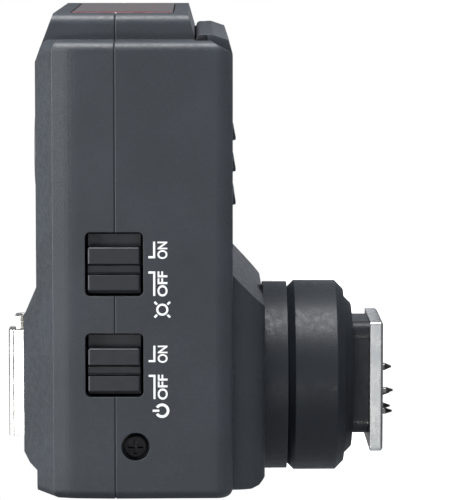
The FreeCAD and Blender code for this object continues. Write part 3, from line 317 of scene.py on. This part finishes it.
SLOT_SURFACES = {
    "housing_plastic": eroded_plastic("housing_plastic", (0.0235, 0.0280, 0.0340), 0.45),
    "door_plastic": eroded_plastic("door_plastic", (0.0225, 0.0270, 0.0330), 0.47),
    "ring_plastic": eroded_plastic("ring_plastic", (0.0170, 0.0210, 0.0265), 0.42, grain=4.0),
    "panel_plastic": satin_plastic("panel_plastic", (0.018, 0.020, 0.023), 0.28),
    "dial_plastic": satin_plastic("dial_plastic", (0.040, 0.043, 0.047), 0.36),
    "knob_plastic": satin_plastic("knob_plastic", (0.0070, 0.0090, 0.0120), 0.42),
    "inner_plastic": satin_plastic("inner_plastic", (0.028, 0.029, 0.032), 0.5),
    "insulator": satin_plastic("insulator", (0.018, 0.018, 0.020), 0.42),
    "key_rubber": rubber("key_rubber", (0.052, 0.056, 0.061), 0.58),
    "red_window": polished_filter("red_window", (0.11, 0.006, 0.014)),
    "emitter_clear": clear_plastic("emitter_clear", (0.85, 0.2, 0.16), 0.08, 0.7),
    "display_glass": clear_plastic("display_glass", (0.72, 0.76, 0.78), 0.04, 0.96),
    "lcd": satin_plastic("lcd", (0.30, 0.40, 0.34), 0.22, edge=0.05),
    "light_guide": satin_plastic("light_guide", (0.78, 0.80, 0.78), 0.4, edge=0.05),
    "lamp": clear_plastic("lamp", (0.7, 0.75, 0.72), 0.15, 0.5),
    "circuit": circuit_board("circuit", (0.025, 0.13, 0.07)),
    "nickel": plated_metal("nickel", (0.74, 0.73, 0.70), 0.24, brush=(1, 0.08, 1)),
    "pin_nickel": plated_metal("pin_nickel", (0.48, 0.47, 0.45), 0.26, grain=7.0),
    "gold": plated_metal("gold", (0.80, 0.61, 0.30), 0.22, grain=7.0),
    "steel": plated_metal("steel", (0.58, 0.58, 0.59), 0.32, brush=(1, 0.1, 1)),
    "spring_steel": plated_metal("spring_steel", (0.50, 0.50, 0.51), 0.3),
    "dark_steel": plated_metal("dark_steel", (0.05, 0.05, 0.053), 0.42),
    "dark_screw": plated_metal("dark_screw", (0.012, 0.012, 0.013), 0.34, grain=7.0),
    "cell_can": satin_plastic("cell_can", (0.09, 0.10, 0.115), 0.3),
}


def dress_nodes():
    """Every CAD node takes the finish of its slot in the record."""
    for part in frame["record"]["subparts"]:
        data = frame["nodes"][part["node"]].data
        data.materials.clear()
        data.materials.append(SLOT_SURFACES[part["material_slot"]].material)


def ink(name, colour, roughness=0.5):
    """Printing ink: nearly flat, with the slight mottle of pad printing."""
    surface = Surface(name, colour, roughness)
    surface.tint(0.04, surface.noise(4.0), surface.noise(0.8))
    return surface.polish(0.05, surface.noise(2.0)).bump(surface.noise(6.0), 0.003, 0.4).material


# ---- printed marks ------------------------------------------------------------------------

WHITE_INK = ink("white_ink", (0.86, 0.87, 0.87))
DARK_INK = ink("dark_ink", (0.02, 0.025, 0.022), 0.3)
INK_THICK = 0.03  # mm
INK_LIFT = 0.005  # mm, keeps the ink off the surface under it


class Plane:
    """A flat place to print on: a corner point, the reading direction and the upward one."""

    def __init__(self, origin, right, up):
        self.origin, self.right, self.up = origin, right.normalized(), up.normalized()
        self.out = self.right.cross(self.up)

    def matrix(self, u, v):
        matrix = Matrix((self.right, self.up, self.out)).transposed().to_4x4()
        matrix.translation = self.origin + (self.right * u + self.up * v + self.out * INK_LIFT) * MM
        return matrix


def finish_piece(piece, material, body):
    """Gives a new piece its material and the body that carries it."""
    piece.data.materials.clear()
    piece.data.materials.append(material)
    bpy.context.scene.collection.objects.link(piece)
    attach(piece, body)


def print_outlines(name, outlines, plane, u, v, material, body, slot):
    """Thin raised ink from flat outlines, each a list of (u, v) points in millimetres."""
    mesh = bmesh.new()
    for outline in outlines:
        low = [mesh.verts.new((a * MM, b * MM, 0)) for a, b in outline]
        high = [mesh.verts.new((a * MM, b * MM, INK_THICK * MM)) for a, b in outline]
        mesh.faces.new(high)
        mesh.faces.new(list(reversed(low)))
        count = len(outline)
        for i in range(count):
            j = (i + 1) % count
            mesh.faces.new((low[i], low[j], high[j], high[i]))
    bmesh.ops.recalc_face_normals(mesh, faces=mesh.faces)
    data = bpy.data.meshes.new(name)
    mesh.to_mesh(data)
    mesh.free()
    piece = bpy.data.objects.new(name, data)
    piece.matrix_world = plane.matrix(u, v)
    finish_piece(piece, material, body)


def print_word(name, word, height, length, plane, u, v, material, body, slot, bold=0.0):
    """A word whose capitals are `height` tall and which is `length` long, as a thin mesh."""
    curve = bpy.data.curves.new(name, "FONT")
    curve.body = word
    curve.size = 1.0
    curve.offset = bold
    text = bpy.data.objects.new(name + "_text", curve)
    bpy.context.scene.collection.objects.link(text)
    bpy.context.view_layer.update()
    flat = bpy.data.meshes.new_from_object(text.evaluated_get(
        bpy.context.evaluated_depsgraph_get()))
    bpy.data.objects.remove(text)
    xs = [p.co.x for p in flat.vertices]
    ys = [p.co.y for p in flat.vertices]
    wide, tall = max(xs) - min(xs), max(ys) - min(ys)
    for p in flat.vertices:
        p.co = Vector(((p.co.x - min(xs)) / wide * length, (p.co.y - min(ys)) / tall * height,
                       INK_THICK)) * MM
    piece = bpy.data.objects.new(name, flat)
    piece.matrix_world = plane.matrix(u, v)
    finish_piece(piece, material, body)


def bar(u0, v0, u1, v1):
    return [(u0, v0), (u1, v0), (u1, v1), (u0, v1)]


def arc_band(radius, width, start, stop, steps=28):
    """Short trapezoids that together make a ring or part of one, angles in degrees."""
    inner, outer = radius - width / 2, radius + width / 2
    quads = []
    for i in range(steps):
        a, b = (radians(start + (stop - start) * k / steps) for k in (i, i + 1))
        quads.append([(inner * cos(a), inner * sin(a)), (outer * cos(a), outer * sin(a)),
                      (outer * cos(b), outer * sin(b)), (inner * cos(b), inner * sin(b))])
    return quads


def tilted_bar(angle, start, stop, width):
    """A bar that points out from the middle at `angle` degrees."""
    along = Vector((cos(radians(angle)), sin(radians(angle))))
    across = Vector((-along.y, along.x)) * (width / 2)
    corners = (along * start - across, along * stop - across,
               along * stop + across, along * start + across)
    return [tuple(corner) for corner in corners]


HALF_WIDTH = 35.0
PARTING_Z = 41.1
BASE_Z = 23.7
SIDE_DRAFT = 0.35
# the switch side below the parting line; reading direction is towards the front
SWITCH_SIDE = Plane(at(-HALF_WIDTH, 0.0, PARTING_Z), Vector((0, -1, 0)),
                    Vector((-SIDE_DRAFT, 0, PARTING_Z - BASE_Z)))
LINE = 0.31
WORD_LOW, WORD_HEIGHT = 33.35, 1.47
BRACKET_Z = 35.3
TICK_TOP_Z = 36.15
TICK_INSET = 0.1
ON_LENGTH, OFF_LENGTH = 2.55, 3.72
WORD_BOLD = 0.022
SIDE_PRINT = (WHITE_INK, "housing", "housing_plastic")


def print_switch_marks(name, on_rear, off_rear):
    """ON and OFF beside a switch, each under a bracket that points at the knob's place."""
    low = WORD_LOW - PARTING_Z
    line = BRACKET_Z - PARTING_Z
    tick = TICK_TOP_Z - PARTING_Z
    print_word(f"{name}_on_mark", "ON", WORD_HEIGHT, ON_LENGTH, SWITCH_SIDE, -on_rear, low,
               *SIDE_PRINT, WORD_BOLD)
    print_word(f"{name}_off_mark", "OFF", WORD_HEIGHT, OFF_LENGTH, SWITCH_SIDE, -off_rear, low,
               *SIDE_PRINT, WORD_BOLD)
    on_bracket = [bar(TICK_INSET, line - LINE / 2, ON_LENGTH, line + LINE / 2),
                  bar(TICK_INSET, line + LINE / 2, TICK_INSET + LINE, tick)]
    print_outlines(f"{name}_on_bracket", on_bracket, SWITCH_SIDE, -on_rear, 0.0, *SIDE_PRINT)
    off_bracket = [bar(TICK_INSET, line - LINE / 2, OFF_LENGTH, line + LINE / 2),
                   bar(OFF_LENGTH - LINE, line + LINE / 2, OFF_LENGTH, tick)]
    print_outlines(f"{name}_off_bracket", off_bracket, SWITCH_SIDE, -off_rear, 0.0, *SIDE_PRINT)


def print_symbols():
    """A lamp symbol behind the first switch's words and a power symbol behind the second's."""
    lamp = arc_band(0.74, LINE, 0, 360)
    lamp += [tilted_bar(angle, 1.08, 1.62, LINE) for angle in (45, 135, 225, 315)]
    print_outlines("lamp_symbol", lamp, SWITCH_SIDE, 15.35, 34.12 - PARTING_Z,
                   *SIDE_PRINT)
    power = arc_band(0.88, 0.4, 90 + 32, 90 + 328)
    power.append(bar(-0.16, 0.4, 0.16, 1.4))
    print_outlines("power_symbol", power, SWITCH_SIDE, 0.3, 34.18 - PARTING_Z,
                   *SIDE_PRINT)


# ---- display and control legends ----------------------------------------------------------

def roof_plane(node):
    """The top of a roof node; its legends read from the rear of the trigger."""
    low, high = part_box(node)
    middle = (low + high) / 2
    return Plane(Vector((middle.x, middle.y, high.z)), Vector((-1, 0, 0)), Vector((0, -1, 0)))


def body_of_node(node):
    return frame["nodes"][node].parent.name.split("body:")[-1]


DISPLAY_TEXT = 2.2  # mm, height of the display's letters and numbers
DISPLAY_MARGIN = 1.6
DISPLAY_ROWS = (("A", "1/1", 9), ("B", "1/4", 6), ("C", "1/8", 4))
DISPLAY_PRINT = (DARK_INK, "housing", "lcd")


def print_display():
    """Generic segments on the liquid-crystal glass: three rows of a letter, a level and a bar."""
    low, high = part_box("lcd_panel")
    plane = roof_plane("lcd_panel")
    half_u, half_v = (high.x - low.x) / MM / 2, (high.y - low.y) / MM / 2
    row_gap = half_v * 0.52
    left = DISPLAY_MARGIN - half_u
    bars = []
    for row, (letter, level, steps) in enumerate(DISPLAY_ROWS):
        v = row_gap * (0.72 - row)
        base = v - DISPLAY_TEXT / 2
        print_word(f"display_row_{letter}", letter, DISPLAY_TEXT, 1.9, plane, left, base,
                   *DISPLAY_PRINT)
        print_word(f"display_level_{letter}", level, DISPLAY_TEXT, 4.4, plane, left + 3.4, base,
                   *DISPLAY_PRINT)
        bars += [bar(left + 10.2 + step * 1.2, v - 0.8, left + 11.0 + step * 1.2, v + 0.8)
                 for step in range(steps)]
    bars.append(bar(left, half_v - 1.5, half_u - DISPLAY_MARGIN, half_v - 1.35))
    print_outlines("display_bars", bars, plane, 0.0, 0.0, *DISPLAY_PRINT)


def print_legends():
    """Letters on the group keys, simple signs on the function keys."""
    for letter in "abcde":
        node = f"group_button_{letter}"
        print_word(f"{node}_legend", letter.upper(), 1.3, 1.1, roof_plane(node), -0.55, -0.65,
                   WHITE_INK, body_of_node(node), "key_rubber")
    signs = {
        "mode_button": [bar(-1.1, 0.25, 1.1, 0.5), bar(-1.1, -0.5, 1.1, -0.25)],
        "zoom_button": [tilted_bar(0, 0.4, 1.2, 0.25), tilted_bar(180, 0.4, 1.2, 0.25)],
        "sync_button": arc_band(0.6, 0.24, 30, 330, 16),
        "menu_button": [bar(-0.9, v - 0.11, 0.9, v + 0.11) for v in (-0.5, 0.0, 0.5)],
        "test_button": arc_band(0.8, 0.22, 0, 360, 24),
        "set_button": arc_band(0.9, 0.22, 0, 360, 24),
    }
    for node, outlines in signs.items():
        print_outlines(f"{node}_legend", outlines, roof_plane(node), 0.0, 0.0,
                       WHITE_INK, body_of_node(node), "key_rubber")


# ---- small solid details ------------------------------------------------------------------

STACK_Y = -0.65


def add_index_dot():
    """A small flat dark dot on the lock ring that shows how far it has been turned."""
    low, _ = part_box("lock_ring")
    radius, segments, height = 0.36, 20, 1.75
    centre = Vector((low.x, STACK_Y * MM, low.z)) + at(0.0, 0.0, height)
    plane = Plane(centre, Vector((0, -1, 0)), Vector((0, 0, 1)))
    dot = [(radius * cos(2 * pi * i / segments), radius * sin(2 * pi * i / segments))
           for i in range(segments)]
    print_outlines("ring_index_dot", [dot], plane, 0.0, 0.0, DARK_INK, "lock_ring",
                   "ring_plastic")


def add_neck_threads():
    """Two narrow rows of thread crests up each side of the neck, between the foot and the disc."""
    foot_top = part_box("foot_plate")[1].z / MM
    disc_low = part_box("clamp_disc")[0].z / MM
    half_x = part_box("foot_neck")[1].x / MM
    half_width, crest, pitch = 0.22, 0.08, 0.28
    root_depth, run_under_disc = 0.1, 0.3
    crests = int((disc_low + run_under_disc - foot_top) / pitch)
    verts, faces = [], []
    for side in (-1, 1):
        for row_y in (-7.5, 6.1):
            for turn in range(crests):
                z = foot_top + pitch * turn
                start = len(verts)
                root, tip = side * (half_x - root_depth), side * (half_x + crest)
                for y, shift in ((row_y - half_width, 0.0), (row_y + half_width, pitch * 0.35)):
                    verts += [at(root, y, z + shift), at(tip, y, z + shift + pitch / 2),
                              at(root, y, z + shift + pitch)]
                a, b, c, d, e, f = range(start, start + 6)
                faces += [(a, d, e, b), (b, e, f, c), (c, f, d, a), (a, b, c), (d, f, e)]
    mesh = bpy.data.meshes.new("neck_threads")
    mesh.from_pydata(verts, [], faces)
    mesh.validate()
    turned = bmesh.new()
    turned.from_mesh(mesh)
    bmesh.ops.recalc_face_normals(turned, faces=turned.faces)
    turned.to_mesh(mesh)
    turned.free()
    piece = bpy.data.objects.new("neck_threads", mesh)
    finish_piece(piece, SLOT_SURFACES["pin_nickel"].material, "housing")


make_camera()
make_lights()
make_floor()
dress_nodes()
print_switch_marks("af", -22.87, -17.3)
print_switch_marks("power", -7.45, -1.95)
print_symbols()
print_display()
print_legends()
add_index_dot()
add_neck_threads()
